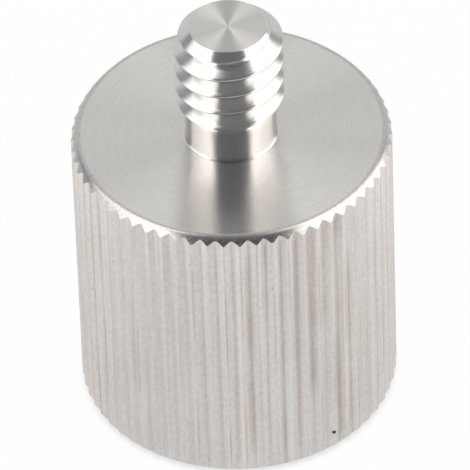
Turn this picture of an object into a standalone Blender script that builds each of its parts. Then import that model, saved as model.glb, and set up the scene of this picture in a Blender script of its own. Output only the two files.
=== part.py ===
"""Tripod thread adapter, turned from one bar of stainless steel.

A straight-knurled barrel carries a male 1/4 inch 20-thread stud on top and has a blind female
3/8 inch 16-thread hole in its base. Both threads are right-handed and cut to their real section.

The axis of the piece is Z and its base lies on z = 0. Lengths are in metres.
Run with: blender --background --python part.py
"""

import math

import bmesh
import bpy

MM = 0.001

# Barrel
BARREL_RADIUS = 9.25 * MM        # over the knurl's teeth
BARREL_HEIGHT = 18.6 * MM        # base face to shoulder face
RIM_BEVEL_WIDTH = 0.333 * MM     # upper rim, measured inwards along the shoulder face
RIM_BEVEL_HEIGHT = 0.513 * MM    # upper rim, measured down the teeth
RIM_ROUND_RADIUS = 0.43 * MM     # between the shoulder face and the bevel
BASE_BEVEL = 0.37 * MM           # lower rim, at 45 degrees

# Straight knurl
TOOTH_PITCH = 0.94 * MM          # along the circumference, a 27 per inch knurling wheel
TOOTH_LAND = 0.20 * MM           # flat left on top of each tooth
GROOVE_DEPTH = 0.20 * MM
KNURL_TURN = math.radians(-1.25)  # from -Y to the nearest groove, seen from above

# Male stud, 1/4 inch with 20 threads to the inch
STUD_HEIGHT = 8.07 * MM          # shoulder face to tip
STUD_RADIUS = 3.15 * MM          # over the crests
STUD_PITCH = 1.27 * MM
STUD_TIP_CHAMFER = 0.93 * MM     # at 45 degrees
NECK_LENGTH = 2.33 * MM          # plain neck between the shoulder face and the thread
NECK_RELIEF = 0.51 * MM          # how far the neck lies below the crests
NECK_FILLET = 0.15 * MM
STUD_CREST_HEIGHT = 5.43 * MM    # above the shoulder, where a crest passes the -Y side

# Female hole, 3/8 inch with 16 threads to the inch
HOLE_RADIUS = 4.7625 * MM        # at the bottom of the thread's grooves
HOLE_PITCH = 1.5875 * MM
HOLE_COUNTERSINK = 0.25 * MM     # how far the countersink's mouth lies outside the thread
HOLE_PLAIN_END = 1.5 * MM        # drilled wall above the last full thread
CORE_THICKNESS = 4.2 * MM        # solid metal between the drill's point and the shoulder face
DRILL_POINT_ANGLE = math.radians(118)

# Thread sections, as shares of the pitch, both with 60 degree flanks
MALE_CREST = 1 / 8
MALE_ROOT = 1 / 6
FEMALE_CREST = 1 / 4
FEMALE_ROOT = 1 / 8
FLANK_SLOPE = math.tan(math.radians(30))

LEAST_STEP = 0.02 * MM           # screw lines closer than this to an end ring are left out

TOOTH_COUNT = round(2 * math.pi * BARREL_RADIUS / TOOTH_PITCH)
TOOTH_ANGLE = 2 * math.pi / TOOTH_COUNT
FRONT = math.radians(-90)
FIRST_GROOVE = FRONT + KNURL_TURN
STUD_TOP = BARREL_HEIGHT + STUD_HEIGHT
NECK_RADIUS = STUD_RADIUS - NECK_RELIEF
NECK_TOP = BARREL_HEIGHT + NECK_LENGTH
TIP_RADIUS = STUD_RADIUS - STUD_TIP_CHAMFER


def flank_depth(pitch, crest, root):
    """Depth of a thread whose flanks fill what its crest and root leave of half a pitch."""
    return (0.5 - (crest + root) / 2) * pitch / FLANK_SLOPE


def share_cut(laps_from_crest, crest, root):
    """0 on a thread's crest, 1 at its root and in proportion down the flank between them."""
    away = abs(laps_from_crest - round(laps_from_crest))
    flank = 0.5 - (crest + root) / 2
    return min(1.0, max(0.0, (away - crest / 2) / flank))


def stud_radius(height, turn):
    """Stud radius at a height, on the line that stands a share of a turn past the front."""
    laps = (height - BARREL_HEIGHT - STUD_CREST_HEIGHT) / STUD_PITCH - turn
    depth = flank_depth(STUD_PITCH, MALE_CREST, MALE_ROOT)
    thread = STUD_RADIUS - depth * share_cut(laps, MALE_CREST, MALE_ROOT)
    run_out = height - NECK_TOP
    tapered = min(max(thread, NECK_RADIUS - run_out), NECK_RADIUS + run_out)
    return min(tapered, TIP_RADIUS + STUD_TOP - height)


HOLE_MINOR_RADIUS = HOLE_RADIUS - flank_depth(HOLE_PITCH, FEMALE_CREST, FEMALE_ROOT)
POINT_HEIGHT = HOLE_MINOR_RADIUS / math.tan(DRILL_POINT_ANGLE / 2)
POINT_TOP = BARREL_HEIGHT - CORE_THICKNESS
DRILLED_DEPTH = POINT_TOP - POINT_HEIGHT
THREAD_DEPTH = DRILLED_DEPTH - HOLE_PLAIN_END


def hole_radius(height, turn):
    """Hole radius at a height: the thread, opened by the countersink and fading at its end."""
    laps = height / HOLE_PITCH - turn
    depth = HOLE_RADIUS - HOLE_MINOR_RADIUS
    thread = HOLE_MINOR_RADIUS + depth * share_cut(laps, FEMALE_CREST, FEMALE_ROOT)
    fading = min(thread, HOLE_MINOR_RADIUS + THREAD_DEPTH - height)
    return max(fading, HOLE_RADIUS + HOLE_COUNTERSINK - height)


def point(bm, radius, angle, height):
    """A vertex at a radius, an angle about Z and a height."""
    return bm.verts.new((radius * math.cos(angle), radius * math.sin(angle), height))


def groove_angle(number):
    """Angle of a groove's bottom line, counted from the one nearest the front."""
    return FIRST_GROOVE + number * TOOTH_ANGLE


def plain_ring(bm, radius, height):
    """One point for each groove, on a circle."""
    return [point(bm, radius, groove_angle(n), height) for n in range(TOOTH_COUNT)]


def tooth_corners():
    """Angle and radius of each corner around the knurl: a groove, then its tooth's two edges."""
    half_land = TOOTH_LAND / 2 / BARREL_RADIUS
    corners = []
    for number in range(TOOTH_COUNT):
        groove = groove_angle(number)
        middle = groove + TOOTH_ANGLE / 2
        corners.append((groove, BARREL_RADIUS - GROOVE_DEPTH))
        corners.append((middle - half_land, BARREL_RADIUS))
        corners.append((middle + half_land, BARREL_RADIUS))
    return corners


def rim_profile():
    """Radius and height of the round between the shoulder face and the upper bevel."""
    slope = math.atan2(RIM_BEVEL_HEIGHT, RIM_BEVEL_WIDTH)
    room = (RIM_BEVEL_WIDTH - GROOVE_DEPTH) / math.cos(slope)
    radius = min(RIM_ROUND_RADIUS, 0.9 * room / math.tan(slope / 2))
    edge = BARREL_RADIUS - RIM_BEVEL_WIDTH - radius * math.tan(slope / 2)
    steps = (0, slope / 3, slope * 2 / 3, slope)
    return [(edge + radius * math.sin(a), BARREL_HEIGHT - radius * (1 - math.cos(a))) for a in steps]


def upper_bevel(radius):
    """Height at which the upper bevel's cone passes a radius."""
    inside = BARREL_RADIUS - RIM_BEVEL_WIDTH
    return BARREL_HEIGHT - (radius - inside) * RIM_BEVEL_HEIGHT / RIM_BEVEL_WIDTH


def lower_bevel(radius):
    """Height at which the lower bevel's cone passes a radius."""
    return radius - (BARREL_RADIUS - BASE_BEVEL)


def join_rings(bm, lower, upper):
    """A band of quads between two rings with as many points."""
    count = len(lower)
    for here in range(count):
        there = (here + 1) % count
        bm.faces.new((lower[here], lower[there], upper[there], upper[here]))


def join_face_rings(bm, inner, outer):
    """A flat ring: for each tooth one face between two inner points and four outer ones."""
    for number in range(TOOTH_COUNT):
        after = (number + 1) % TOOTH_COUNT
        start = 3 * number
        edge = [outer[start], outer[start + 1], outer[start + 2], outer[3 * after]]
        bm.faces.new(edge + [inner[after], inner[number]])


def close_ring(bm, ring, height):
    """A fan of triangles from a ring to a point on the axis."""
    centre = bm.verts.new((0, 0, height))
    for here in range(len(ring)):
        bm.faces.new((ring[here], ring[(here + 1) % len(ring)], centre))


def screw_lines(places, pitch, start, turn, low, high):
    """Number and height of each screw line that crosses one upright line between two heights.

    start is a height that a line of place 0 passes at the front. turn is the upright line's
    share of a turn past the front.
    """
    lines = {}
    for lap in range(math.floor((low - start) / pitch) - 2, math.ceil((high - start) / pitch) + 1):
        for number, place in enumerate(places):
            height = start + (lap + place + turn) * pitch
            if low + LEAST_STEP < height < high - LEAST_STEP:
                lines[lap * len(places) + number] = height
    return lines


def thread_skin(bm, radius_at, pitch, places, start, lower, upper):
    """A threaded surface between two rings.

    Its points lie where upright lines, one for each groove of the knurl, cross screw lines that
    climb one pitch a turn. After a turn each line meets the one that began a lap above it.
    """
    low = lower[0].co.z
    high = upper[0].co.z
    columns = []
    for number in range(TOOTH_COUNT):
        turn = (groove_angle(number) - FRONT) / (2 * math.pi)
        lines = screw_lines(places, pitch, start, turn, low, high)
        angle = groove_angle(number)
        columns.append({n: point(bm, radius_at(z, turn), angle, z) for n, z in lines.items()})
    for here in range(TOOTH_COUNT):
        there = (here + 1) % TOOTH_COUNT
        shift = len(places) if there == 0 else 0
        left, right = columns[here], columns[there]
        last_left, last_right = lower[here], lower[there]
        for number in sorted(set(left) | {n - shift for n in right}):
            next_left = left.get(number)
            next_right = right.get(number + shift)
            if next_left and next_right:
                bm.faces.new((last_left, last_right, next_right, next_left))
            else:
                bm.faces.new((last_left, last_right, next_left or next_right))
            last_left = next_left or last_left
            last_right = next_right or last_right
        bm.faces.new((last_left, last_right, upper[there], upper[here]))


def section_places(crest, root, flank_points):
    """Places of the screw lines along one pitch, the crest's middle at 0."""
    flank = 0.5 - (crest + root) / 2
    rising = [crest / 2 + flank * k / (flank_points + 1) for k in range(flank_points + 2)]
    return rising + [1 - place for place in reversed(rising)]


def add_stud(bm, shoulder_ring):
    """Fillet, neck, male thread and tip, upwards from the shoulder face's inner ring."""
    lower = shoulder_ring
    for angle in (math.radians(45), math.radians(90)):
        radius = NECK_RADIUS + NECK_FILLET * (1 - math.sin(angle))
        height = BARREL_HEIGHT + NECK_FILLET * (1 - math.cos(angle))
        upper = plain_ring(bm, radius, height)
        join_rings(bm, lower, upper)
        lower = upper
    neck_end = plain_ring(bm, NECK_RADIUS, NECK_TOP)
    join_rings(bm, lower, neck_end)
    tip = plain_ring(bm, TIP_RADIUS, STUD_TOP)
    places = section_places(MALE_CREST, MALE_ROOT, 2)
    thread_skin(bm, stud_radius, STUD_PITCH, places, BARREL_HEIGHT + STUD_CREST_HEIGHT, neck_end, tip)
    close_ring(bm, tip, STUD_TOP)


def add_hole(bm, mouth):
    """Countersink, female thread, drilled wall and drill point, upwards from the base face."""
    thread_end = plain_ring(bm, HOLE_MINOR_RADIUS, THREAD_DEPTH)
    places = section_places(FEMALE_CREST, FEMALE_ROOT, 0)
    thread_skin(bm, hole_radius, HOLE_PITCH, places, 0, mouth, thread_end)
    wall_end = plain_ring(bm, HOLE_MINOR_RADIUS, DRILLED_DEPTH)
    join_rings(bm, thread_end, wall_end)
    close_ring(bm, wall_end, POINT_TOP)


def add_barrel(bm, mouth, shoulder_ring):
    """Base face, lower bevel, knurl, upper bevel, round and shoulder face."""
    corners = tooth_corners()
    base = [point(bm, BARREL_RADIUS - BASE_BEVEL, a, 0) for a, r in corners]
    join_face_rings(bm, mouth, base)
    rings = [base]
    rings.append([point(bm, r, a, lower_bevel(r)) for a, r in corners])
    rings.append([point(bm, r, a, upper_bevel(r)) for a, r in corners])
    for radius, height in reversed(rim_profile()):
        rings.append([point(bm, radius, a, height) for a, r in corners])
    for lower, upper in zip(rings, rings[1:]):
        join_rings(bm, lower, upper)
    join_face_rings(bm, shoulder_ring, rings[-1])


def steel():
    """Bright stainless steel."""
    material = bpy.data.materials.new("stainless_steel")
    material.use_nodes = True
    shader = material.node_tree.nodes["Principled BSDF"]
    shader.inputs["Base Color"].default_value = (0.60, 0.585, 0.56, 1)
    shader.inputs["Metallic"].default_value = 1.0
    shader.inputs["Roughness"].default_value = 0.30
    return material


def build_adapter():
    """The whole adapter as one closed mesh."""
    bm = bmesh.new()
    mouth = plain_ring(bm, HOLE_RADIUS + HOLE_COUNTERSINK, 0)
    shoulder_ring = plain_ring(bm, NECK_RADIUS + NECK_FILLET, BARREL_HEIGHT)
    add_barrel(bm, mouth, shoulder_ring)
    add_stud(bm, shoulder_ring)
    add_hole(bm, mouth)
    bmesh.ops.recalc_face_normals(bm, faces=bm.faces)
    mesh = bpy.data.meshes.new("adapter_body")
    bm.to_mesh(mesh)
    bm.free()
    mesh.shade_smooth()
    mesh.set_sharp_from_angle(angle=math.radians(25))
    mesh.materials.append(steel())
    adapter = bpy.data.objects.new("adapter_body", mesh)
    bpy.context.scene.collection.objects.link(adapter)
    return adapter


for leftover in list(bpy.data.objects):
    bpy.data.objects.remove(leftover, do_unlink=True)
build_adapter()
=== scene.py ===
# %% [markdown]
# # A tripod thread adapter of turned stainless steel
# The adapter joins a camera to a tripod whose screw doesn't fit it. A knurled barrel carries a
# 1/4 inch male stud on top and has a 3/8 inch female hole in its base, all cut from one bar. This
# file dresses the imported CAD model: it rebuilds the visible skin with rounded edges and real
# threads, gives each kind of cut its own steel, and sets a small photo studio round the part.

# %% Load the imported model
import math

import bmesh
import bpy
import numpy as np
from mathutils import Matrix, Vector


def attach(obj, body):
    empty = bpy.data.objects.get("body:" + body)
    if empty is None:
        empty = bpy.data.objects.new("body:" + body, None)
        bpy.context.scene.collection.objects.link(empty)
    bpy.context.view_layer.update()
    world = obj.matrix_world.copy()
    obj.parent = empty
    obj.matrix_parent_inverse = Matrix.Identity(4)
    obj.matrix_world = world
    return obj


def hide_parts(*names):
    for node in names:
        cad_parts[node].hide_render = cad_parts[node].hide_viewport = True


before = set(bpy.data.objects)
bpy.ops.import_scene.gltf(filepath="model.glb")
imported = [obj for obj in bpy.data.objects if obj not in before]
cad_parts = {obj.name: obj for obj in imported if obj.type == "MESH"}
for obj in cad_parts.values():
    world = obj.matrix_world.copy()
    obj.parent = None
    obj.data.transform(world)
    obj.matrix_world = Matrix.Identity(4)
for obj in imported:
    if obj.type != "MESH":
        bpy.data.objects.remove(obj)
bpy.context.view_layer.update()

print("CAD nodes:", sorted(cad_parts))

# %% [markdown]
# ## Sizes
# On the real part each size is a setting of the lathe. A skin could be shaped by eye until it
# fits, but here the driving sizes are those of the CAD model and everything else is worked out
# from them, so the skin lies where the solid does.

# %% Driving sizes
MM = 0.001

BARREL_RADIUS = 9.25 * MM
BARREL_HEIGHT = 18.6 * MM
RIM_BEVEL_WIDTH = 0.333 * MM
RIM_BEVEL_HEIGHT = 0.513 * MM
RIM_ROUND_RADIUS = 0.43 * MM
BASE_BEVEL = 0.37 * MM

TOOTH_PITCH = 0.94 * MM
TOOTH_LAND = 0.20 * MM
GROOVE_DEPTH = 0.20 * MM
KNURL_TURN = math.radians(-1.25)

STUD_HEIGHT = 8.07 * MM
STUD_RADIUS = 3.15 * MM
STUD_PITCH = 1.27 * MM
STUD_TIP_CHAMFER = 0.93 * MM
NECK_LENGTH = 2.33 * MM
NECK_RELIEF = 0.51 * MM
NECK_FILLET = 0.15 * MM
STUD_CREST_HEIGHT = 5.43 * MM

HOLE_RADIUS = 4.7625 * MM
HOLE_PITCH = 1.5875 * MM
HOLE_COUNTERSINK = 0.25 * MM
HOLE_PLAIN_END = 1.5 * MM
CORE_THICKNESS = 4.2 * MM
DRILL_POINT_ANGLE = math.radians(118)

# flats on the crests and roots of the threads, as shares of a pitch
MALE_CREST = 1 / 8
MALE_ROOT = 1 / 6
FEMALE_CREST = 1 / 4
FEMALE_ROOT = 1 / 8
FLANK_SLOPE = math.tan(math.radians(30))
print("height over all in mm:", round((BARREL_HEIGHT + STUD_HEIGHT) / MM, 2))

# %% Sizes worked out from them
FRONT = math.radians(-90)
TOOTH_COUNT = round(2 * math.pi * BARREL_RADIUS / TOOTH_PITCH)
TOOTH_ANGLE = 2 * math.pi / TOOTH_COUNT
FIRST_GROOVE = FRONT + KNURL_TURN
STUD_TOP = BARREL_HEIGHT + STUD_HEIGHT
NECK_RADIUS = STUD_RADIUS - NECK_RELIEF
NECK_TOP = BARREL_HEIGHT + NECK_LENGTH
TIP_RADIUS = STUD_RADIUS - STUD_TIP_CHAMFER


def flank_depth(pitch, crest, root):
    """Depth of a thread: half a pitch less half the crest and root, over the flank's slope."""
    return (0.5 - (crest + root) / 2) * pitch / FLANK_SLOPE


STUD_THREAD_DEPTH = flank_depth(STUD_PITCH, MALE_CREST, MALE_ROOT)
HOLE_MINOR_RADIUS = HOLE_RADIUS - flank_depth(HOLE_PITCH, FEMALE_CREST, FEMALE_ROOT)
POINT_TOP = BARREL_HEIGHT - CORE_THICKNESS
DRILLED_DEPTH = POINT_TOP - HOLE_MINOR_RADIUS / math.tan(DRILL_POINT_ANGLE / 2)
THREAD_DEPTH = DRILLED_DEPTH - HOLE_PLAIN_END
print("teeth:", TOOTH_COUNT, "stud thread depth in mm:", round(STUD_THREAD_DEPTH / MM, 3))

# %% [markdown]
# ## The camera
# A long lens looks down at the part from the front, turned a little about its own axis. A camera
# can be moved by hand until the picture fits, but this one's angles and distance come from a fit
# to the part's outlines. Its aim is a point on the axis, just over half way up the barrel.

# %% Camera
CAMERA_ELEVATION = math.radians(43.37)
CAMERA_ROLL = math.radians(-2.04)
CAMERA_DISTANCE = 515.7 * MM
CAMERA_LENS = 680
CLIP_START = 10 * MM
AIM_HEIGHT = 10.32 * MM


def add_object(name, data):
    """An object in the scene that holds the data, at the origin and unturned."""
    new_object = bpy.data.objects.new(name, data)
    bpy.context.scene.collection.objects.link(new_object)
    return new_object


camera = add_object("camera", bpy.data.cameras.new("camera"))
camera.data.lens = CAMERA_LENS
camera.data.clip_start = CLIP_START
tilt = Matrix.Rotation(math.radians(90) - CAMERA_ELEVATION, 4, "X")
away = Vector((0, -math.cos(CAMERA_ELEVATION), math.sin(CAMERA_ELEVATION)))
place = Matrix.Translation(Vector((0, 0, AIM_HEIGHT)) + CAMERA_DISTANCE * away)
camera.matrix_world = place @ tilt @ Matrix.Rotation(CAMERA_ROLL, 4, "Z")
bpy.context.scene.camera = camera
print("camera at, in mm:", [round(v / MM, 1) for v in camera.matrix_world.translation])

# %% [markdown]
# ## Skins of points
# Every surface of a turned part is a grid: one way runs round the axis, the other along the
# profile. The Spin and Screw tools can make such grids, but they can't make a knurl or a thread
# that runs out. So a skin here is an array of points, worked out as a whole, with the number of
# its steel. The skins are sewn into one mesh where their edges lie on each other.

# %% Grids round the axis
def round_axis(radius, angle, height):
    """Points at x = radius cos(angle), y = radius sin(angle) and z = height."""
    radius, angle, height = np.broadcast_arrays(radius, angle, height)
    return np.stack([radius * np.cos(angle), radius * np.sin(angle), height], axis=-1)


def even_angles(count):
    """Angles in even steps from the first groove, closed by the first one again."""
    steps = FIRST_GROOVE + 2 * math.pi * np.arange(count) / count
    return np.append(steps, steps[0])


def close_round(values):
    """The first column once more after the last, which closes a grid round the axis."""
    return np.concatenate([values, values[:, :1]], axis=1)


def grid_faces(rows, columns):
    """Four corners a face: a point, its right neighbour, and the two above them."""
    row, column = np.meshgrid(np.arange(rows - 1), np.arange(columns - 1), indexing="ij")
    corner = (row * columns + column).ravel()
    return np.stack([corner, corner + 1, corner + columns + 1, corner + columns], axis=1)


print("faces in a grid of 3 by 4 points:", len(grid_faces(3, 4)))

# %% Skins kept for the mesh
STEELS = ("knurled", "faced", "turned", "rim", "tip")
KNURLED, FACED, TURNED, RIM, TIP = range(len(STEELS))
MARKS = ("stain", "fold", "polish_and_highlight")
skins = []


def add_skin(points, steel, marks=None):
    """Keep a grid of points, rows by columns, with its faces and the marks of each point."""
    rows, columns = points.shape[:2]
    if marks is None:
        marks = np.zeros((rows, columns, len(MARKS)))
    faces = grid_faces(rows, columns)
    skins.append((points.reshape(-1, 3), faces, steel, marks.reshape(-1, len(MARKS))))


def add_step(coarse, fine, steel):
    """A flat ring between a coarse circle and a fine one: each face has one coarse edge."""
    ratio = (len(fine) - 1) // (len(coarse) - 1)
    first = np.arange(len(coarse) - 1)
    along = len(coarse) + first[:, None] * ratio + np.arange(ratio + 1)
    faces = np.concatenate([along, first[:, None] + 1, first[:, None]], axis=1)
    points = np.concatenate([coarse, fine])
    skins.append((points, faces, steel, np.zeros((len(points), len(MARKS)))))


print("steels:", STEELS, "marks:", MARKS)

# %% Softened corners
def soft_max(a, b, width):
    """The larger of two values, with the corner between them rounded over a width."""
    return (a + b + np.sqrt((a - b) ** 2 + width**2)) / 2


def soft_min(a, b, width):
    """The smaller of two values, with the corner between them rounded over a width."""
    return -soft_max(-a, -b, width)


def smooth_step(value, start, end):
    """0 at the start, 1 at the end, whichever is larger, and a smooth step between them."""
    t = np.clip((value - start) / (end - start), 0, 1)
    return t * t * (3 - 2 * t)


def tent(distance, width):
    """1 at no distance, 0 from the width on, and straight between them."""
    return np.clip(1 - np.abs(distance) / width, 0, 1)


print("a quarter of the way up a smooth step:", smooth_step(0.25, 0, 1))

# %% [markdown]
# ## The knurl
# A straight knurl is rolled in by a toothed wheel that presses V grooves along the barrel. The
# metal it pushes up meets in the middle of each land, where it often leaves a thin fold. One groove
# and an Array modifier would make them all alike, but the wheel never runs quite true. So each
# groove here has its own depth, width and place. The columns of the grid crowd at the groove's
# bottom, the land's edges and the fold.

# %% Columns of the knurl
HALF_TOOTH = np.array([0.03, 0.075, 0.16, 0.26, 0.35, 0.41, 0.47])
SHIFT_SPREAD = 0.022
DEPTH_SHARES = (0.95, 1.0)
LAND_SHARES = (0.1, 0.9)

rolls = np.random.default_rng(62)
phases = np.concatenate([[0.0], HALF_TOOTH, [0.5], 1 - HALF_TOOTH[::-1]])
groove_shift = rolls.normal(0, SHIFT_SPREAD, TOOTH_COUNT)
groove_share = rolls.uniform(*DEPTH_SHARES, TOOTH_COUNT)
land_share = rolls.uniform(*LAND_SHARES, TOOTH_COUNT)

# a groove's shift moves all of its bottom and nothing of the lands' middles
number = np.repeat(np.arange(TOOTH_COUNT), len(phases))
phase = np.tile(phases, TOOTH_COUNT)
after = (number + 1) % TOOTH_COUNT
nearer_next = phase > 0.5
nearest = np.where(nearer_next, after, number)
from_nearest = np.where(nearer_next, phase - 1, phase)
hold = np.abs(2 * (phase - 0.5))
barrel_angles = FIRST_GROOVE + (number + phase + groove_shift[nearest] * hold) * TOOTH_ANGLE
barrel_angles = np.append(barrel_angles, barrel_angles[0])
print("columns a tooth:", len(phases), "columns round the barrel:", len(phase))

# %% Depth of the knurl below the barrel's radius
EDGE_SOFTNESS = 0.05
BOTTOM_SOFTNESS = 0.14
FOLD_DEPTH = 0.02 * MM
WAVE_SHARE = 0.02
WAVES_UP = 1.3
WAVE_OFFSET = 0.37


def soften_bottom(distance):
    """The distance from a groove's bottom, with the V's point rounded."""
    return np.sqrt(distance**2 + BOTTOM_SOFTNESS**2) - BOTTOM_SOFTNESS


def knurl_depth(share_of_height):
    """Each groove's wall rises in a straight line from its bottom to the land.

    The rise is softened at both ends. Slow waves along the barrel make it a little deeper or
    shallower, another for each groove.
    """
    from_groove = soften_bottom(np.minimum(phase, 1 - phase))
    flank = soften_bottom(0.5 - land_share[number] * TOOTH_LAND / TOOTH_PITCH / 2)
    rise = 1 - from_groove / flank
    turns = WAVES_UP * share_of_height[:, None] + number * WAVE_OFFSET
    depth = groove_share[nearest] - WAVE_SHARE * (1 + np.sin(2 * math.pi * turns))
    cut = GROOVE_DEPTH * depth * soft_max(rise, 0, EDGE_SOFTNESS)
    return close_round(cut + FOLD_DEPTH * (phase == 0.5))


sample = knurl_depth(np.array([0.5]))
print("knurl depth in mm, least and most:", np.round([sample.min() / MM, sample.max() / MM], 3))

# %% [markdown]
# ## Marks on the knurl
# Coolant dries brown in some grooves, every groove's bottom holds a little dirt, the folds on the
# lands hold a dark line, and the wheel has polished some of the lands' edges, which are also
# lightened as a painted highlight. They could be painted on an image, but all of them follow the
# knurl. So they are worked out on its grid and kept with each point as attributes, which the
# knurled steel reads.

# %% Marks listed one by one
# grooves are counted from the one in front, 0, towards +X
# groove: (strength, width, lowest, highest), the last two as shares of the barrel's height
STAINED = {
    1: (0.75, 0.24, 0.10, 1.10),
    2: (0.80, 0.20, 0.66, 1.10),
    3: (0.70, 0.16, -0.10, 1.10),
    4: (0.85, 0.20, 0.10, 1.10),
    5: (0.80, 0.30, 0.30, 1.10),
    6: (0.75, 0.26, 0.58, 1.10),
    7: (1.00, 0.34, -0.10, 1.10),
    8: (0.75, 0.20, -0.10, 0.80),
    -2: (0.20, 0.20, 0.20, 0.60),
}
# polished land edges: smoother steel, and lightened as a painted highlight
# groove: (strength, place past the groove in pitches, width)
POLISHED_AND_HIGHLIT = {
    0: (1.00, 0.30, 0.16),
    1: (0.55, 0.22, 0.10),
    3: (0.80, 0.37, 0.20),
    4: (0.55, 0.30, 0.10),
    5: (0.45, 0.42, 0.16),
    7: (0.80, 0.45, 0.14),
    -5: (0.30, 0.15, 0.20),
    -6: (0.30, 0.15, 0.20),
}
print("grooves stained by hand:", sorted(STAINED), "burnished:", sorted(POLISHED_AND_HIGHLIT))

# %% Marks drawn by lot for all the other grooves
# each groove's values stand in the order of the tables above
stain = np.stack(
    [
        rolls.uniform(0.0, 0.4, TOOTH_COUNT) ** 1.5,
        rolls.uniform(0.14, 0.26, TOOTH_COUNT),
        rolls.uniform(-0.5, 0.6, TOOTH_COUNT),
        rolls.uniform(0.6, 1.4, TOOTH_COUNT),
    ],
    axis=1,
)
polish_and_highlight = np.stack(
    [
        rolls.uniform(-0.3, 0.5, TOOTH_COUNT).clip(0, 1),
        rolls.uniform(0.2, 0.42, TOOTH_COUNT),
        rolls.uniform(0.08, 0.16, TOOTH_COUNT),
    ],
    axis=1,
)
fold_strength = rolls.uniform(0.0, 1.0, TOOTH_COUNT)
dirt_strength = rolls.uniform(0.5, 1.0, TOOTH_COUNT)

for drawn, by_hand in ((stain, STAINED), (polish_and_highlight, POLISHED_AND_HIGHLIT)):
    for groove, values in by_hand.items():
        drawn[groove] = values
print("mean strength of the stains:", round(float(stain[:, 0].mean()), 2))

# %% Where each mark is strong
STAIN_OFFSET = 0.03
STAIN_SPREAD = 1.35
STAIN_CORE = 0.7
STAIN_FADE = 0.08
DIRT_SHARE = 0.38
DIRT_WIDTH = 0.13
FOLD_WIDTH = 0.05
FOLD_WAVES = 1.7
FOLD_OFFSET = 0.61
FOLD_COMES = (-0.6, 0.4)


def stain_marks(height):
    """Strength of the brown: it fades across its groove and past its two ends."""
    strength, width, low, high = stain[nearest].T
    across = tent(from_nearest + STAIN_OFFSET, STAIN_SPREAD * width)
    brown = strength * smooth_step(across, 0, STAIN_CORE)
    brown = brown * smooth_step(height, low - STAIN_FADE, low + STAIN_FADE)
    return brown * (1 - smooth_step(height, high - STAIN_FADE, high + STAIN_FADE))


def fold_marks(height):
    """Strength of the dark lines: the larger of the dirt and the fold.

    The dirt is a narrow line in each groove's bottom. A fold is a narrow line that comes and goes
    along the middle of a land.
    """
    dirt = DIRT_SHARE * dirt_strength[nearest] * tent(from_nearest, DIRT_WIDTH)
    wave = np.sin(2 * math.pi * (height * FOLD_WAVES + number * FOLD_OFFSET))
    fold = fold_strength[number] * tent(phase - 0.5, FOLD_WIDTH) * smooth_step(wave, *FOLD_COMES)
    return np.maximum(fold, dirt)


def polish_and_highlight_marks():
    """Polish and its painted highlight: the same all the way up, fading across the land's edge."""
    strength, place, width = polish_and_highlight[number].T
    return strength * smooth_step(tent(phase - place, width), 0, 1)


print("waves of a fold along the barrel:", FOLD_WAVES)

# %% All marks of the knurl
def knurl_marks(share_of_height):
    """Stain, fold and burnish at each point."""
    height = share_of_height[:, None]
    marks = np.broadcast_arrays(stain_marks(height), fold_marks(height), polish_and_highlight_marks())
    return close_round(np.stack(marks, axis=-1))


print("marks on one row of the knurl:", knurl_marks(np.array([0.5])).shape)

# %% [markdown]
# ## The barrel
# The bevel of the upper rim cuts each tooth where its cone meets it, so the rim comes out as a
# zigzag all round. A Boolean cut would find the same line, with untidy faces. Here each row of the
# knurl simply ends at the cone's height for its own depth. A small round leads from the bevel to
# the shoulder face, and a second bevel, at the base, cuts the teeth from below.

# %% Barrel rows
KNURL_ROWS = 20
ROUND_STEPS = 7


def rim_round():
    """Radius and height of the arc that touches the shoulder face and the bevel."""
    slope = math.atan2(RIM_BEVEL_HEIGHT, RIM_BEVEL_WIDTH)
    edge_radius = BARREL_RADIUS - RIM_BEVEL_WIDTH - RIM_ROUND_RADIUS * math.tan(slope / 2)
    angle = np.linspace(slope, 0, ROUND_STEPS)
    radius = edge_radius + RIM_ROUND_RADIUS * np.sin(angle)
    return radius, BARREL_HEIGHT - RIM_ROUND_RADIUS * (1 - np.cos(angle))


def barrel_points(share):
    """Rows up the barrel: base edge, lower bevel, knurl, upper bevel and round.

    A knurl row lies a share of the way from where the lower bevel's cone meets the tooth to where
    the upper one does.
    """
    tooth = BARREL_RADIUS - knurl_depth(share)
    low = tooth - (BARREL_RADIUS - BASE_BEVEL)
    inside = BARREL_RADIUS - RIM_BEVEL_WIDTH
    high = BARREL_HEIGHT - (tooth - inside) * RIM_BEVEL_HEIGHT / RIM_BEVEL_WIDTH
    knurl = round_axis(tooth, barrel_angles, low + (high - low) * share[:, None])
    base = round_axis(BARREL_RADIUS - BASE_BEVEL, barrel_angles, 0.0)
    radius, height = rim_round()
    rim = round_axis(radius[:, None], barrel_angles, height[:, None])
    return base[None], knurl, rim


knurl_shares = np.linspace(0, 1, KNURL_ROWS + 1)
base_ring, knurl_grid, rim_grid = barrel_points(knurl_shares)
add_skin(np.concatenate([base_ring, knurl_grid[:1]]), RIM)
add_skin(knurl_grid, KNURLED, knurl_marks(knurl_shares))
add_skin(np.concatenate([knurl_grid[-1:], rim_grid]), RIM)
print("barrel rows:", len(base_ring) + len(knurl_grid) + len(rim_grid))

# %% [markdown]
# ## The shoulder face
# The face was cut flat with one pass of the lathe's tool. A single face of many corners would do
# for a flat disc, but its shading would smear at the rounded edges. Narrow support rings keep it
# flat up to both edges. The barrel has four times as many columns as the stud, so one ring of
# wider faces steps down from the one count to the other.

# %% Shoulder face
SUPPORT = 0.04 * MM
STUD_COLUMNS = 4 * TOOTH_COUNT

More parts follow.
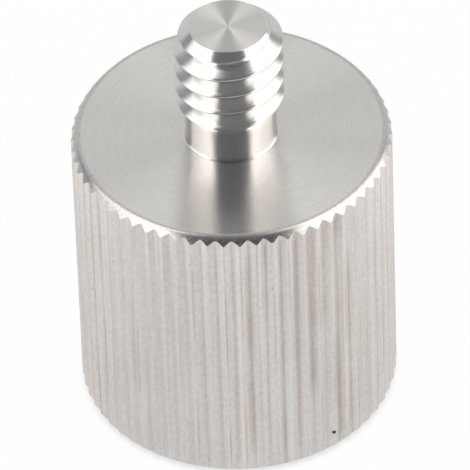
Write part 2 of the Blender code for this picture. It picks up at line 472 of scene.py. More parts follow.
stud_angles = even_angles(STUD_COLUMNS)
face_edge = rim_grid[-1, 0]
face_radius = float(np.hypot(face_edge[0], face_edge[1]))
outer_support = round_axis(face_radius - SUPPORT, barrel_angles, BARREL_HEIGHT)
inner_support = round_axis(face_radius - 2 * SUPPORT, stud_angles, BARREL_HEIGHT)
fillet_support = round_axis(NECK_RADIUS + NECK_FILLET + SUPPORT, stud_angles, BARREL_HEIGHT)
fillet_start = round_axis(NECK_RADIUS + NECK_FILLET, stud_angles, BARREL_HEIGHT)
add_skin(np.stack([rim_grid[-1], outer_support]), FACED)
add_step(inner_support, outer_support, FACED)
add_skin(np.stack([inner_support, fillet_support, fillet_start]), FACED)
print("face radius in mm:", round(face_radius / MM, 3))

# %% [markdown]
# ## Threads
# A thread is one groove wound round the stud. The Screw modifier winds a profile too, but it can't
# fade it into the neck and the tip. Here the grid itself runs along the screw: its rows climb one
# pitch a turn, so crest and root are each followed by a row and come out as clean lines. After one
# turn a row meets the one a lap above it. Where a row would run past either end it is held at the
# end's circle.

# %% Screw grid
LEAST_STEP = 0.02 * MM
SPARE_LAPS = 2
SECTION_SOFTNESS = 0.05


def screw_rows(section, pitch, start, columns, low, high):
    """Height of each row at each column, and the column's share of a turn past the front.

    A row at a place in the section stands at start + (lap + place + turn) pitches.
    """
    places = np.concatenate([section, [0.5], 1 - section[:0:-1]])
    first_lap = math.floor((low - start) / pitch) - SPARE_LAPS
    laps = np.arange(first_lap, math.ceil((high - start) / pitch) + SPARE_LAPS)
    turn = (FIRST_GROOVE - FRONT) / (2 * math.pi) + np.linspace(0, 1, columns + 1)
    along = (laps[:, None] + places).ravel()
    height = start + (along[:, None] + turn) * pitch
    height = np.where(height < low + LEAST_STEP, low, height)
    height = np.where(height > high - LEAST_STEP, high, height)
    between = np.flatnonzero((height.max(axis=1) > low) & (height.min(axis=1) < high))
    return height[between[0] - 1 : between[-1] + 2], turn


def share_cut(laps_from_crest, crest, root):
    """0 on a thread's crest, 1 at its root and in proportion down the flank between them."""
    away_from = np.abs(laps_from_crest - np.round(laps_from_crest))
    flank = 0.5 - (crest + root) / 2
    down = soft_max((away_from - crest / 2) / flank, 0, SECTION_SOFTNESS)
    return soft_min(down, 1, SECTION_SOFTNESS)


print("cut a quarter of a lap past the crest:", share_cut(0.25, MALE_CREST, MALE_ROOT).round(3))

# %% Male thread and neck
STUD_SECTION = np.array(
    [0.0, 0.035, 0.055, 0.07, 0.09, 0.13, 0.18, 0.23, 0.28, 0.33, 0.38, 0.41, 0.44, 0.47]
)
CREST_SOFTNESS = 0.03 * MM
FILLET_ROWS = 6
NECK_ROWS = 6


def stud_radius(height, turn):
    """The thread's section, drawn into the neck at 45 degrees and cut by the tip's chamfer."""
    laps = (height - BARREL_HEIGHT - STUD_CREST_HEIGHT) / STUD_PITCH - turn
    cut = share_cut(laps, MALE_CREST, MALE_ROOT)
    thread = STUD_RADIUS - STUD_THREAD_DEPTH * cut
    run_out = height - NECK_TOP
    tapered = np.maximum(thread, NECK_RADIUS - run_out)
    tapered = soft_min(tapered, NECK_RADIUS + run_out, CREST_SOFTNESS)
    chamfered = soft_min(tapered, TIP_RADIUS + STUD_TOP - height, CREST_SOFTNESS)
    return np.minimum(chamfered, STUD_RADIUS)


start = BARREL_HEIGHT + STUD_CREST_HEIGHT
low = NECK_TOP + LEAST_STEP
high = STUD_TOP - SUPPORT
height, turn = screw_rows(STUD_SECTION, STUD_PITCH, start, STUD_COLUMNS, low, high)
stud_grid = round_axis(stud_radius(height, turn), stud_angles, height)
bend = np.linspace(0, math.radians(90), FILLET_ROWS)[:, None]
fillet_radius = NECK_RADIUS + NECK_FILLET * (1 - np.sin(bend))
fillet_height = BARREL_HEIGHT + NECK_FILLET * (1 - np.cos(bend))
fillet = round_axis(fillet_radius, stud_angles, fillet_height)
neck_foot = BARREL_HEIGHT + NECK_FILLET + SUPPORT
neck_height = np.linspace(neck_foot, NECK_TOP - SUPPORT, NECK_ROWS)[:, None]
neck = round_axis(NECK_RADIUS, stud_angles, neck_height)
add_skin(np.concatenate([fillet, neck, stud_grid]), TURNED)
print("screw rows on the stud:", len(height))

# %% [markdown]
# ## The tip
# The tip is a small faced flat. Its rings shine as a star of their own, so it gets its own steel.
# One face of many corners would fill it, but a fan of thin faces joins the screw's columns one by
# one, and on a flat disc it shades evenly.

# %% Tip flat
tip_edge = round_axis(stud_radius(high, turn), stud_angles, high)
tip_round = round_axis(TIP_RADIUS, stud_angles, STUD_TOP)
tip_support = round_axis(TIP_RADIUS - SUPPORT, stud_angles, STUD_TOP)
tip_centre = round_axis(0.0, stud_angles, STUD_TOP)
add_skin(np.stack([tip_edge, tip_round]), TURNED)
add_skin(np.stack([tip_round, tip_support, tip_centre]), TIP)
print("tip radius in mm:", round(TIP_RADIUS / MM, 3))

# %% [markdown]
# ## The hole in the base
# The hole takes the tripod's larger screw. It was drilled, then tapped, so it ends in plain wall
# and the drill's point. A dark disc would pass from above, but a part in a library is seen from all
# sides. So the female thread is worked out as the male one is, from the other side. A countersink
# opens it, it fades into the drilled wall, and a cone closes it.

# %% Female thread
HOLE_SECTION = np.array([0.0, 0.06, 0.11, 0.14, 0.18, 0.25, 0.32, 0.38, 0.42, 0.46])
HOLE_COLUMNS = 2 * TOOTH_COUNT


def hole_radius(height, turn):
    """The thread's section, opened by the countersink and fading at 45 degrees at its end."""
    laps = height / HOLE_PITCH - turn
    depth = HOLE_RADIUS - HOLE_MINOR_RADIUS
    thread = HOLE_MINOR_RADIUS + depth * share_cut(laps, FEMALE_CREST, FEMALE_ROOT)
    fading = np.minimum(thread, HOLE_MINOR_RADIUS + THREAD_DEPTH - height)
    fading = np.maximum(fading, HOLE_MINOR_RADIUS)
    return soft_max(fading, HOLE_RADIUS + HOLE_COUNTERSINK - height, CREST_SOFTNESS)


hole_angles = even_angles(HOLE_COLUMNS)
height, turn = screw_rows(HOLE_SECTION, HOLE_PITCH, 0, HOLE_COLUMNS, 0, THREAD_DEPTH)
hole_grid = round_axis(hole_radius(height, turn), hole_angles, height)
add_skin(hole_grid, TURNED)
print("screw rows in the hole:", len(height))

# %% Drilled wall, drill point and base face
WALL_ROWS = 4

wall_heights = np.linspace(THREAD_DEPTH, DRILLED_DEPTH, WALL_ROWS)[:, None]
wall = round_axis(HOLE_MINOR_RADIUS, hole_angles, wall_heights)
wall[0] = hole_grid[-1]
point_centre = round_axis(0.0, hole_angles, POINT_TOP)
base_inner = round_axis(HOLE_RADIUS + HOLE_COUNTERSINK + 2 * SUPPORT, hole_angles, 0.0)
base_outer = round_axis(BARREL_RADIUS - BASE_BEVEL - SUPPORT, barrel_angles, 0.0)
add_skin(wall, TURNED)
add_skin(np.stack([wall[-1], point_centre]), TURNED)
add_skin(np.stack([hole_grid[0], base_inner]), FACED)
add_step(base_inner, base_outer, FACED)
add_skin(np.stack([base_outer, base_ring[0]]), FACED)
print("metal above the drill's point in mm:", round((BARREL_HEIGHT - POINT_TOP) / MM, 2))

# %% [markdown]
# ## One closed mesh
# The real part is one piece of metal, so its skin is one closed mesh. The skins could stay
# separate objects, but light would show at their seams. They go into one mesh, points that lie on
# each other are merged, and the normals are turned outwards. The edge between the knurl and the
# bevels stays sharp, because the bevels' tool left it so.

# %% One mesh from all skins
def keep_values(mesh, named):
    """Keep values with the mesh's points, an attribute for each name."""
    for name, values in named.items():
        attribute = mesh.attributes.new(name, "FLOAT", "POINT")
        attribute.data.foreach_set("value", np.ravel(values).astype(np.float32))


def joined_mesh(name, parts):
    """All skins in one mesh, with a steel for each face and marks for each point."""
    starts = np.cumsum([0] + [len(part[0]) for part in parts])
    points = np.concatenate([part[0] for part in parts])
    marks = np.concatenate([part[3] for part in parts])
    faces = []
    steels = []
    for (_, own_faces, steel, _), first in zip(parts, starts):
        faces.extend((own_faces + first).tolist())
        steels.extend([steel] * len(own_faces))
    mesh = bpy.data.meshes.new(name)
    mesh.from_pydata(points, [], faces)
    mesh.polygons.foreach_set("material_index", steels)
    keep_values(mesh, dict(zip(MARKS, marks.T)))
    return mesh


skin_mesh = joined_mesh("adapter_skin", skins)
print("points before sewing:", len(skin_mesh.vertices))

# %% Sew the skins
SEW_DISTANCE = 0.0005 * MM


def sew(mesh):
    """Merge the mesh's doubles and turn its normals outwards."""
    bm = bmesh.new()
    bm.from_mesh(mesh)
    bmesh.ops.remove_doubles(bm, verts=bm.verts, dist=SEW_DISTANCE)
    bmesh.ops.recalc_face_normals(bm, faces=bm.faces)
    for edge in bm.edges:
        kinds = {face.material_index == KNURLED for face in edge.link_faces}
        edge.smooth = len(kinds) == 1
    open_edges = sum(len(edge.link_faces) != 2 for edge in bm.edges)
    triangles = sum(len(face.verts) - 2 for face in bm.faces)
    bm.to_mesh(mesh)
    bm.free()
    mesh.polygons.foreach_set("use_smooth", [True] * len(mesh.polygons))
    print(mesh.name, "triangles:", triangles, "open edges:", open_edges)


sew(skin_mesh)
adapter = add_object("adapter_skin", skin_mesh)
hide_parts("adapter_body")
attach(adapter, "root")

# %% [markdown]
# ## Steel
# All five finishes are the same stainless steel. What differs is the tool's marks: the knurling
# wheel left a satin skin, and the lathe left rings that run round the axis, so that light is
# spread across them and stays sharp along them. A picture of metal wrapped round the part would
# show its seam. Here each finish is a metal shader with noise worked out from the place on the
# part, which has none.

# %% Materials
def new_material(name):
    """A material with nodes, its tree and the shader that it starts with."""
    material = bpy.data.materials.new(name)
    material.use_nodes = True
    return material, material.node_tree, material.node_tree.nodes["Principled BSDF"]


def new_steel(name, color, roughness):
    """A metal material on the adapter, in the next slot: its tree and shader."""
    material, tree, shader = new_material(name)
    shader.inputs["Base Color"].default_value = (*color, 1)
    shader.inputs["Metallic"].default_value = 1.0
    shader.inputs["Roughness"].default_value = roughness
    adapter.data.materials.append(material)
    print(name, "in slot", len(adapter.data.materials) - 1)
    return tree, shader


print("steels to come:", STEELS)

# %% Arithmetic with nodes
def math_node(tree, operation, *values):
    """A math node; numbers are typed in and sockets are linked."""
    node = tree.nodes.new("ShaderNodeMath")
    node.operation = operation
    for socket, value in zip(node.inputs, values):
        if isinstance(value, (int, float)):
            socket.default_value = value
        else:
            tree.links.new(value, socket)
    return node.outputs[0]


def product(tree, first, *others):
    """All the values multiplied."""
    for value in others:
        first = math_node(tree, "MULTIPLY", first, value)
    return first


def ramp(tree, value, low, high, start=0.0, end=1.0):
    """start where the value is at low, end where it is at high, smooth between them."""
    node = tree.nodes.new("ShaderNodeMapRange")
    node.interpolation_type = "SMOOTHSTEP"
    node.inputs["From Min"].default_value = low
    node.inputs["From Max"].default_value = high
    node.inputs["To Min"].default_value = start
    node.inputs["To Max"].default_value = end
    tree.links.new(value, node.inputs["Value"])
    return node.outputs["Result"]


print("arithmetic helpers are ready")

# %% Where a point is
def split_place(tree, kind="Object"):
    """x, y and z of a texture coordinate; for Object, the place on the part in metres."""
    split = tree.nodes.new("ShaderNodeSeparateXYZ")
    tree.links.new(tree.nodes.new("ShaderNodeTexCoord").outputs[kind], split.inputs[0])
    return split.outputs


def radius_at(tree, place):
    """Distance from the axis: the square root of x squared plus y squared."""
    squares = [math_node(tree, "MULTIPLY", place[way], place[way]) for way in "XY"]
    return math_node(tree, "SQRT", math_node(tree, "ADD", *squares))


def angle_at(tree, place):
    """Angle round the axis: none on the -Y side, growing towards +X."""
    front = math_node(tree, "MULTIPLY", place["Y"], -1.0)
    return math_node(tree, "ARCTAN2", place["X"], front)


def join_values(tree, *values):
    """A vector of up to three values, in the order x, y, z."""
    node = tree.nodes.new("ShaderNodeCombineXYZ")
    for socket, value in zip(node.inputs, values):
        tree.links.new(value, socket)
    return node.outputs[0]


print("place helpers are ready")

# %% Noise, marks, tints and relief
def noise_over(tree, vector, detail):
    """Noise of about one wave a unit."""
    noise = tree.nodes.new("ShaderNodeTexNoise")
    noise.inputs["Scale"].default_value = 1.0
    noise.inputs["Detail"].default_value = detail
    tree.links.new(vector, noise.inputs["Vector"])
    return noise.outputs["Fac"]


def read_mark(tree, name):
    """A mark kept with the points."""
    node = tree.nodes.new("ShaderNodeAttribute")
    node.attribute_name = name
    return node.outputs["Fac"]


def tint(tree, color, share, tone, blend="MULTIPLY"):
    """Where the share is 1, the colour multiplied by a tone, or changed for it with MIX."""
    node = tree.nodes.new("ShaderNodeMix")
    node.data_type = "RGBA"
    node.blend_type = blend
    tree.links.new(share, node.inputs["Factor"])
    node.inputs["B"].default_value = (*tone, 1)
    if isinstance(color, tuple):
        node.inputs["A"].default_value = (*color, 1)
    else:
        tree.links.new(color, node.inputs["A"])
    return node.outputs["Result"]


def add_relief(tree, shader, height, depth):
    """Bump: the surface is shaded as if it rose by the depth where the height is 1."""
    bump = tree.nodes.new("ShaderNodeBump")
    bump.inputs["Strength"].default_value = 1.0
    bump.inputs["Distance"].default_value = depth
    tree.links.new(height, bump.inputs["Height"])
    tree.links.new(bump.outputs[0], shader.inputs["Normal"])


print("helpers for finishes are ready")

# %% [markdown]
# ## Knurled steel
# The wheel presses the bar's skin flat without cutting it, so the knurl is satin, with fine lines
# along the barrel, a grain, shallow nicks and the marks worked out above. Bumps alone would look
# like clean new metal. So each of these marks is a faint tint of the steel, and the lines and the
# grain are a slight relief as well. Four small dents in front are not modelled: each is a sphere
# around a point, dark inside, which is painted shade.

# %% Patterns on the knurled steel
CLEAN_STEEL = (0.82, 0.80, 0.78)
SATIN_ROUGHNESS = 0.45
# pattern: (length round the barrel in mm, length up it in mm, detail)
PATTERNS = {
    "streaks": (0.14, 14, 2.0),
    "patches": (2.5, 4, 3.0),
    "grain": (0.22, 0.34, 3.0),
    "scratches": (0.24, 0.17, 2.0),
    "clusters": (1.9, 1.6, 1.0),
    "tones": (0.55, 18, 1.0),
}


def cylinder_place(tree, along, up):
    """(arc length from the front, height), each over its own length, as a vector."""
    place = split_place(tree)
    arc = math_node(tree, "MULTIPLY", angle_at(tree, place), BARREL_RADIUS / along)
    return join_values(tree, arc, math_node(tree, "DIVIDE", place["Z"], up))


tree, shader = new_steel("knurled_steel", CLEAN_STEEL, SATIN_ROUGHNESS)
pattern = {}
for name, (along, up, detail) in PATTERNS.items():
    pattern[name] = noise_over(tree, cylinder_place(tree, along * MM, up * MM), detail)

# %% Tints of the knurled steel
# (pattern, its value at no tint, its value at full tint, tone)
TINTS = [
    ("streaks", 0.35, 0.75, (0.935, 0.93, 0.925)),
    ("grain", 0.34, 0.68, (0.93, 0.926, 0.923)),
    ("patches", 0.35, 0.75, (0.975, 0.96, 0.955)),
    ("tones", 0.50, 0.66, (0.98, 0.988, 1.0)),
    ("tones", 0.48, 0.34, (1.0, 0.975, 0.955)),
]
SCRATCH_SHADE = (0.55, 0.54, 0.53)
SCRATCH_SPAN = (0.64, 0.78)
CLUSTER_SPAN = (0.48, 0.64)

color = CLEAN_STEEL
for name, none, full, tone in TINTS:
    color = tint(tree, color, ramp(tree, pattern[name], none, full), tone)
scratched = ramp(tree, pattern["scratches"], *SCRATCH_SPAN)
in_clusters = ramp(tree, pattern["clusters"], *CLUSTER_SPAN)
color = tint(tree, color, product(tree, scratched, in_clusters), SCRATCH_SHADE)
print("tints on the knurled steel:", len(TINTS) + 1)

# %% Stains, folds, polished edges and their painted highlight on the knurled steel
DRY_COOLANT = (0.78, 0.72, 0.67)
FOLD_SHADE = (0.62, 0.61, 0.60)
# painted highlight: the polished edges are lightened to stand for the light they catch
PAINTED_POLISH_HIGHLIGHT = (1.10, 1.11, 1.12)
# (two values of the pattern, the share of the mark that is left at each of them)
LEFT_IN_PATCHES = (0.30, 0.60, 0.45, 1.0)
LEFT_IN_STREAKS = (0.25, 0.55, 0.55, 1.0)
FOLD_IN_STREAKS = (0.25, 0.55, 0.0, 1.0)
LEFT_IN_GRAIN = (0.2, 0.5, 0.5, 1.0)

in_patches = ramp(tree, pattern["patches"], *LEFT_IN_PATCHES)
in_streaks = ramp(tree, pattern["streaks"], *LEFT_IN_STREAKS)
stained = product(tree, in_patches, in_streaks, read_mark(tree, "stain"))
folded = product(tree, read_mark(tree, "fold"), ramp(tree, pattern["streaks"], *FOLD_IN_STREAKS))
in_grain = ramp(tree, pattern["grain"], *LEFT_IN_GRAIN)
polished_and_highlit = product(tree, read_mark(tree, "polish_and_highlight"), in_grain)
for share, tone in ((stained, DRY_COOLANT), (folded, FOLD_SHADE), (polished_and_highlit, PAINTED_POLISH_HIGHLIGHT)):
    color = tint(tree, color, share, tone)
print("marks read by the knurled steel:", MARKS)

# %% Painted shade of small dents in the knurled steel
# painted shade: the dents have no geometry, so the shade inside them is a dark tint
PAINTED_DENT_SHADE = (0.08, 0.07, 0.07)
DENT_SHADE_CORE = 0.6
# (degrees from the front, height in mm, size in mm)
DENTS = [(35.4, 1.35, 0.17), (34.0, 1.62, 0.07), (21.5, 1.95, 0.09), (4.1, 0.87, 0.09)]


def painted_dent_shade(tree, degrees, height, size):
    """Painted shade: 1 inside a small dent at an angle from the front, 0 outside."""
    turn = math.radians(degrees)
    centre = (BARREL_RADIUS * math.sin(turn), -BARREL_RADIUS * math.cos(turn), height)
    away = tree.nodes.new("ShaderNodeVectorMath")
    away.operation = "DISTANCE"
    tree.links.new(tree.nodes.new("ShaderNodeTexCoord").outputs["Object"], away.inputs[0])
    away.inputs[1].default_value = centre
    return ramp(tree, away.outputs["Value"], DENT_SHADE_CORE * size, size, 1.0, 0.0)


dent_shade, *others = [painted_dent_shade(tree, degrees, high * MM, size * MM) for degrees, high, size in DENTS]
for other in others:
    dent_shade = math_node(tree, "MAXIMUM", dent_shade, other)
color = tint(tree, color, dent_shade, PAINTED_DENT_SHADE)
tree.links.new(color, shader.inputs["Base Color"])
print("dents:", len(DENTS))

# %% Gloss and relief of the knurled steel
ROUGHNESS_SPREAD = 0.05
ROUGHNESS_SPAN = (0.2, 0.8)
BURNISHED_GLOSS = 0.12
GRAIN_RELIEF = 0.2
KNURLED_RELIEF = 0.010 * MM

smoothest = SATIN_ROUGHNESS - ROUGHNESS_SPREAD
roughest = SATIN_ROUGHNESS + ROUGHNESS_SPREAD
rough = ramp(tree, pattern["grain"], *ROUGHNESS_SPAN, smoothest, roughest)
rough = math_node(tree, "SUBTRACT", rough, product(tree, polished_and_highlit, BURNISHED_GLOSS))
tree.links.new(rough, shader.inputs["Roughness"])
grains = product(tree, pattern["grain"], GRAIN_RELIEF)
add_relief(tree, shader, math_node(tree, "ADD", pattern["streaks"], grains), KNURLED_RELIEF)
print("roughness of the knurled steel:", round(smoothest, 2), "to", round(roughest, 2))

# %% [markdown]
# ## Faced steel
# The tool that faced the shoulder left rings a tenth of a millimetre apart. Real rings would need
# millions of faces, so they are a bump that depends on the radius and the height alone. A Tangent
# node gives the shader the way round the axis, which draws each light out into a bright strip
# towards the middle. Short faint lines, drawn out round the axis, break the strips up.

# %% Marks of the lathe
BRUSH_RADIUS = 6 * MM
BRUSH_SPAN = (0.42, 0.66)
BRUSH_DETAIL = 3.0
RING_DETAIL = 2.0
QUARTER_TURN = 0.25


def lathe_steel(name, color, roughness, anisotropy, spacing, depth):
    """A metal with fine rings: its bump is a noise of the radius and the height.

    The rings' spacing and depth are in mm. The Tangent node gives the way round the axis, and a
    quarter turn spreads light across it.
    """
    tree, shader = new_steel(name, color, roughness)
    tangent = tree.nodes.new("ShaderNodeTangent")
    tangent.direction_type = "RADIAL"
    tangent.axis = "Z"
    tree.links.new(tangent.outputs[0], shader.inputs["Tangent"])
    shader.inputs["Anisotropic"].default_value = anisotropy
    shader.inputs["Anisotropic Rotation"].default_value = QUARTER_TURN
    place = split_place(tree)
    across = math_node(tree, "DIVIDE", radius_at(tree, place), spacing * MM)
    ring = join_values(tree, across, math_node(tree, "DIVIDE", place["Z"], spacing * MM))
    add_relief(tree, shader, noise_over(tree, ring, RING_DETAIL), depth * MM)
    return tree, shader


def brush_lines(tree, color, tone, across, along):
    """Short lines round the axis: the colour takes a tone where a stretched noise is high."""
    place = split_place(tree)
    outward = math_node(tree, "DIVIDE", radius_at(tree, place), across)
    arc = math_node(tree, "MULTIPLY", angle_at(tree, place), BRUSH_RADIUS / along)
    up = math_node(tree, "DIVIDE", place["Z"], across)
    noise = noise_over(tree, join_values(tree, outward, arc, up), BRUSH_DETAIL)
    return tint(tree, color, ramp(tree, noise, *BRUSH_SPAN), tone)


print("brush lines have their length at a radius in mm of", round(BRUSH_RADIUS / MM, 1))

# %% Faced steel
FACED_STEEL = (0.715, 0.702, 0.68)
FACED_LINE = (0.955, 0.955, 0.96)

tree, shader = lathe_steel(
    "faced_steel", FACED_STEEL, roughness=0.25, anisotropy=1.0, spacing=0.12, depth=0.010
)
color = brush_lines(tree, FACED_STEEL, FACED_LINE, across=0.07 * MM, along=0.9 * MM)
tree.links.new(color, shader.inputs["Base Color"])

# %% [markdown]
# ## Turned steel
# The thread, the neck and the hole have finer and shallower rings than the faced shoulder. The
# corner at the neck's foot is darkened in front with painted shade. It could be modelled as a thin
# ring, but a tint that follows the place is enough.

# %% Turned steel
TURNED_STEEL = (0.71, 0.70, 0.685)
TURNED_LINE = (0.95, 0.95, 0.955)
# painted shade in the corner at the neck's foot, on the front side only
CORNER_SHADE = (0.48, 0.47, 0.46)
CORNER_LIFT = (0.036 * MM, 0.18 * MM)
CORNER_WIDTH = (1.05 * MM, 1.5 * MM)
FRONT_SPAN = (-0.6, -0.4)


def on_front_side(tree, place, radius, full_to, none_from):
    """1 near the middle of the -Y side, falling to 0 sideways, and 0 on the other side."""
    sideways = math_node(tree, "ABSOLUTE", place["X"])
    middle = ramp(tree, sideways, full_to, none_from, 1.0, 0.0)
    full, none = [share * radius for share in FRONT_SPAN]
    return product(tree, middle, ramp(tree, place["Y"], full, none, 1.0, 0.0))


def corner_painted_shade(tree):
    """Painted shade: 1 in the neck's foot corner on its -Y side, falling to 0 up and sideways."""
    place = split_place(tree)
    lift = math_node(tree, "SUBTRACT", place["Z"], BARREL_HEIGHT)
    front = on_front_side(tree, place, NECK_RADIUS, *CORNER_WIDTH)
    return product(tree, ramp(tree, lift, *CORNER_LIFT, 1.0, 0.0), front)


tree, shader = lathe_steel(
    "turned_steel", TURNED_STEEL, roughness=0.22, anisotropy=0.8, spacing=0.08, depth=0.002
)
color = brush_lines(tree, TURNED_STEEL, TURNED_LINE, across=0.07 * MM, along=1.2 * MM)
color = tint(tree, color, corner_painted_shade(tree), CORNER_SHADE)
tree.links.new(color, shader.inputs["Base Color"])

# %% [markdown]
# ## Rim steel
# Both bevels cut across the teeth, and their finish is duller and more broken. Low on the front of
# the rim, the teeth's ends hold brown specks of dirt. They could be modelled as grains, but at this
# size a tint from a fine noise looks the same.

# %% Rim steel
RIM_STEEL = (0.61, 0.60, 0.583)
RIM_LINE = (0.85, 0.83, 0.82)
GRIME_SHADE = (0.70, 0.585, 0.545)
GRIME_WIDTH = (2.5 * MM, 3.7 * MM)
GRIME_DROP = (0.06 * MM, 0.20 * MM)
SPECK_LENGTHS = (0.20 * MM, 0.12 * MM)
SPECK_SPAN = (0.40, 0.56)
SPECK_DETAIL = 3.0


def rim_grime(tree):
    """Brown specks low on the rim's -Y side, fading out sideways."""
    place = split_place(tree)
    front = on_front_side(tree, place, BARREL_RADIUS, *GRIME_WIDTH)
    drop = math_node(tree, "SUBTRACT", BARREL_HEIGHT, place["Z"])
    specks = noise_over(tree, cylinder_place(tree, *SPECK_LENGTHS), SPECK_DETAIL)
    return product(tree, ramp(tree, specks, *SPECK_SPAN), ramp(tree, drop, *GRIME_DROP), front)


tree, shader = lathe_steel(
    "rim_steel", RIM_STEEL, roughness=0.28, anisotropy=0.6, spacing=0.12, depth=0.002
)
color = brush_lines(tree, RIM_STEEL, RIM_LINE, across=0.10 * MM, along=0.14 * MM)
color = tint(tree, color, rim_grime(tree), GRIME_SHADE)
tree.links.new(color, shader.inputs["Base Color"])

# %% [markdown]
# ## Tip steel
# The tip's rings are twice as deep as the stud's and run round the very centre, which draws the
# lights out into a star. A star could be painted, but it would stay where it is when the lights
# move, and this one follows them.

# %% Tip steel
TIP_STEEL = (0.71, 0.70, 0.68)

lathe_steel("tip_steel", TIP_STEEL, roughness=0.30, anisotropy=1.0, spacing=0.10, depth=0.004)

# %% [markdown]
# ## The table
# Bare metal has hardly a colour of its own: it shows what stands round it, so the studio is half
# of its look. The part stands on a small white table. A lit white surface would carry a heavy
# shadow, so the camera and the metal see mostly a glow, as white as the picture's ground for the
# camera and a little dimmer for the metal. A short reach of ambient occlusion darkens it where the
# part touches it.

# %% White table's material
TABLE_WHITE = 0.85
TABLE_LIGHT = 0.78
GLOW_SHARE = 0.96
CONTACT_REACH = 0.5 * MM
CONTACT_SHADE = 0.75


def show_mix(tree, share, first, second):
    """The surface is the first shader where the share is 0 and the second where it is 1."""
    mix = tree.nodes.new("ShaderNodeMixShader")
    for socket, value in zip(mix.inputs, (share, first, second)):
        tree.links.new(value, socket)
    tree.links.new(mix.outputs[0], tree.nodes["Material Output"].inputs["Surface"])


white, tree, paper = new_material("white_table")
paper.inputs["Base Color"].default_value = (TABLE_WHITE, TABLE_WHITE, TABLE_WHITE, 1)
paper.inputs["Roughness"].default_value = 1.0
paper.inputs["Specular IOR Level"].default_value = 0.0
glow = tree.nodes.new("ShaderNodeEmission")
path = tree.nodes.new("ShaderNodeLightPath")
camera_ray = path.outputs["Is Camera Ray"]
near = tree.nodes.new("ShaderNodeAmbientOcclusion")
near.inputs["Distance"].default_value = CONTACT_REACH
shade = ramp(tree, near.outputs["AO"], 0.0, 1.0, CONTACT_SHADE, 1.0)
seen = math_node(tree, "MAXIMUM", camera_ray, path.outputs["Is Glossy Ray"])
show_mix(tree, product(tree, seen, GLOW_SHARE), paper.outputs[0], glow.outputs[0])
brighter = product(tree, camera_ray, 1 - TABLE_LIGHT)
level = math_node(tree, "ADD", brighter, TABLE_LIGHT)
tree.links.new(product(tree, level, shade), glow.inputs["Strength"])
print("the metal sees the table at", TABLE_LIGHT, "of what the camera sees")

# %% Table
TABLE_RADIUS = 55 * MM
TABLE_DROP = 0.02 * MM
TABLE_STEPS = 96

table_mesh = bpy.data.meshes.new("table")
table_angles = 2 * math.pi * np.arange(TABLE_STEPS) / TABLE_STEPS
table_points = round_axis(TABLE_RADIUS, table_angles, -TABLE_DROP)
table_mesh.from_pydata(table_points, [], [list(range(TABLE_STEPS))])
table_mesh.materials.append(white)
table = add_object("table", table_mesh)
print("table radius in mm:", round(TABLE_RADIUS / MM, 1))

# %% [markdown]
# ## The room
# Round the table lies a dim room, a little brighter behind the part than on the camera's side. It
# could be a box of walls, but the world's background does the same with one ramp along Y. The
# camera itself sees plain white there.

# %% Room
ROOM_FRONT = 0.20
ROOM_BEHIND = 0.38
ROOM_BELOW = 0.22
ROOM_SPAN = (-0.45, 0.65)
HORIZON_SPAN = (-0.1, 0.1)
ROOM_COLOR = (0.90, 0.945, 1.0)
WHITE = (1, 1, 1)

world = bpy.data.worlds.new("studio")
bpy.context.scene.world = world
world.use_nodes = True
tree = world.node_tree
background = tree.nodes["Background"]
toward = split_place(tree, "Generated")
above = ramp(tree, toward["Y"], *ROOM_SPAN, ROOM_FRONT, ROOM_BEHIND)
below = ramp(tree, toward["Z"], *HORIZON_SPAN, ROOM_BELOW, 0.0)
camera_ray = tree.nodes.new("ShaderNodeLightPath").outputs["Is Camera Ray"]
room = math_node(tree, "MAXIMUM", above, below)
lit = math_node(tree, "MAXIMUM", room, camera_ray)
hue = tint(tree, ROOM_COLOR, camera_ray, WHITE, "MIX")
tree.links.new(hue, background.inputs["Color"])
tree.links.new(lit, background.inputs["Strength"])
print("room, in front and behind:", ROOM_FRONT, ROOM_BEHIND)

# %% [markdown]
# ## Cards of light
# Two large soft boxes stand left and right of the camera and reach from below the table's top to
# high above it, and a white backdrop closes the back. Area lamps would do on a plain surface, but
# turned steel shows their outlines. So each card is a patch of a sphere round the part, and its
# points hold how much of the card is there and how bright it is. Its edges can then be soft and
# stand at another azimuth at each height. The camera doesn't see the cards.

# %% A card of light
CARD_DISTANCE = 500 * MM
CARD_STEPS = 40


def card_material(name, color):
    """Emission by the points' glow, and clear where their shine is 0."""
    material, tree, unneeded = new_material(name)
    tree.nodes.remove(unneeded)
    glow = tree.nodes.new("ShaderNodeEmission")
    glow.inputs["Color"].default_value = (*color, 1)
    tree.links.new(read_mark(tree, "glow"), glow.inputs["Strength"])
    clear = tree.nodes.new("ShaderNodeBsdfTransparent")
    show_mix(tree, read_mark(tree, "shine"), clear.outputs[0], glow.outputs[0])
    return material


def light_card(name, azimuths, elevations, light, color, farther=1.0):
    """A curved card: its points lie round the axis at the cosine and sine of the elevation.

    Azimuth 0 is the camera's side and 90 is +X. The light is a pair of values at each point: how
    much of the card is there, its shine, and how bright it is, its glow.
    """
    azimuth, elevation = np.meshgrid(
        np.linspace(*azimuths, CARD_STEPS), np.linspace(*elevations, CARD_STEPS)
    )
    up = np.radians(elevation)
    toward = round_axis(np.cos(up), FRONT + np.radians(azimuth), np.sin(up))
    mesh = bpy.data.meshes.new(name)
    faces = grid_faces(CARD_STEPS, CARD_STEPS).tolist()
    mesh.from_pydata((farther * CARD_DISTANCE * toward).reshape(-1, 3), [], faces)
    shine, glow = light(np.abs(azimuth), elevation)
    keep_values(mesh, {"shine": shine, "glow": glow})
    mesh.materials.append(card_material(name, color))
    card = add_object(name, mesh)
    card.visible_camera = False
    print(name, "at azimuths", azimuths, "and elevations", elevations)


# %% Soft boxes
BOX_COLOR = (1.0, 0.965, 0.935)
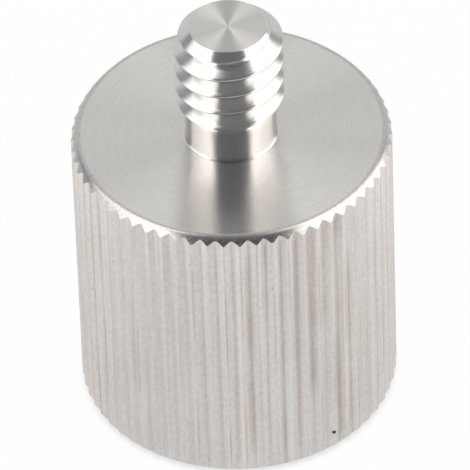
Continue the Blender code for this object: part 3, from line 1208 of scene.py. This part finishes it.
# (elevation, inner azimuth, outer azimuth) of the boxes' edges, in degrees as all below
LEFT_EDGES = [(-22, 33, 103), (20, 35, 103), (43, 46, 119), (68, 66, 130), (84, 80, 130)]
RIGHT_EDGES = [(-22, 37, 120), (20, 38, 120), (44, 48, 124), (70, 67, 135), (84, 82, 135)]
OUTER_FADE = 5
TOP_SPAN = (85, 75)
BOTTOM_SPAN = (-30, -24)
RISE_SPAN = (18, 40)
OUTWARD_SPAN = (62, 96)
LOW_SPAN = (-2, -12)
LOW_GAIN = 0.65
LOW_LOSS = 0.35
SHARE_ELEVATIONS = [18, 34, 55]


def soft_box(edges, inner_fade, low_glow, high_glow, outer):
    """The light of a soft box whose inner and outer edges are listed by elevation.

    Its glow rises from low_glow near the table to high_glow higher up, and sinks to its outer
    shares away from the camera. Below the table's top it gains light near the camera and loses
    some farther out.
    """
    at, inner_edge, outer_edge = np.array(edges, dtype=float).T

    def light(azimuth, elevation):
        inside = azimuth - np.interp(elevation, at, inner_edge)
        outside = azimuth - np.interp(elevation, at, outer_edge)
        shine = smooth_step(inside, -inner_fade, inner_fade)
        shine = shine * smooth_step(outside, OUTER_FADE, -OUTER_FADE)
        shine = shine * smooth_step(elevation, *TOP_SPAN) * smooth_step(elevation, *BOTTOM_SPAN)
        glow = low_glow + (high_glow - low_glow) * smooth_step(elevation, *RISE_SPAN)
        outward = smooth_step(azimuth, *OUTWARD_SPAN)
        gain = LOW_GAIN * (1 - outward) - LOW_LOSS * outward
        glow = glow * (1 + gain * smooth_step(elevation, *LOW_SPAN))
        share = np.interp(elevation, SHARE_ELEVATIONS, outer)
        return shine, glow * (1 - (1 - share) * outward)

    return light


left_light = soft_box(LEFT_EDGES, 5, low_glow=1.95, high_glow=2.45, outer=[0.62, 0.72, 0.75])
right_light = soft_box(RIGHT_EDGES, 7, low_glow=2.05, high_glow=2.65, outer=[1.0, 0.72, 0.75])
light_card("left_soft_box", (-140, -20), (-32, 86), left_light, BOX_COLOR)
light_card("right_soft_box", (20, 145), (-32, 86), right_light, BOX_COLOR)

# %% Backdrop
BACKDROP_GLOW = 0.77
BACKDROP_FARTHER = 1.1
BACKDROP_FADE = 4
BACKDROP_TOP_SPAN = (73, 65)
# elevations, and the azimuth of the backdrop's side edges at each of them
BACKDROP_EDGES = [-22, 0, 12, 24], [112, 112, 126, 135]


def backdrop_light(azimuth, elevation):
    """Even, wider near the table than high up, with all edges faded."""
    beside = 180 - np.abs(180 - azimuth)
    past = beside - np.interp(elevation, *BACKDROP_EDGES)
    shine = smooth_step(past, -BACKDROP_FADE, BACKDROP_FADE)
    shine = shine * smooth_step(elevation, *BACKDROP_TOP_SPAN)
    return shine, np.full_like(shine, BACKDROP_GLOW)


light_card("backdrop", (106, 254), (-22, 74), backdrop_light, WHITE, BACKDROP_FARTHER)

# %% [markdown]
# ## Finish
# The Standard view transform shows colours as they are written.

# %% Finish
bpy.context.scene.view_settings.view_transform = "Standard"
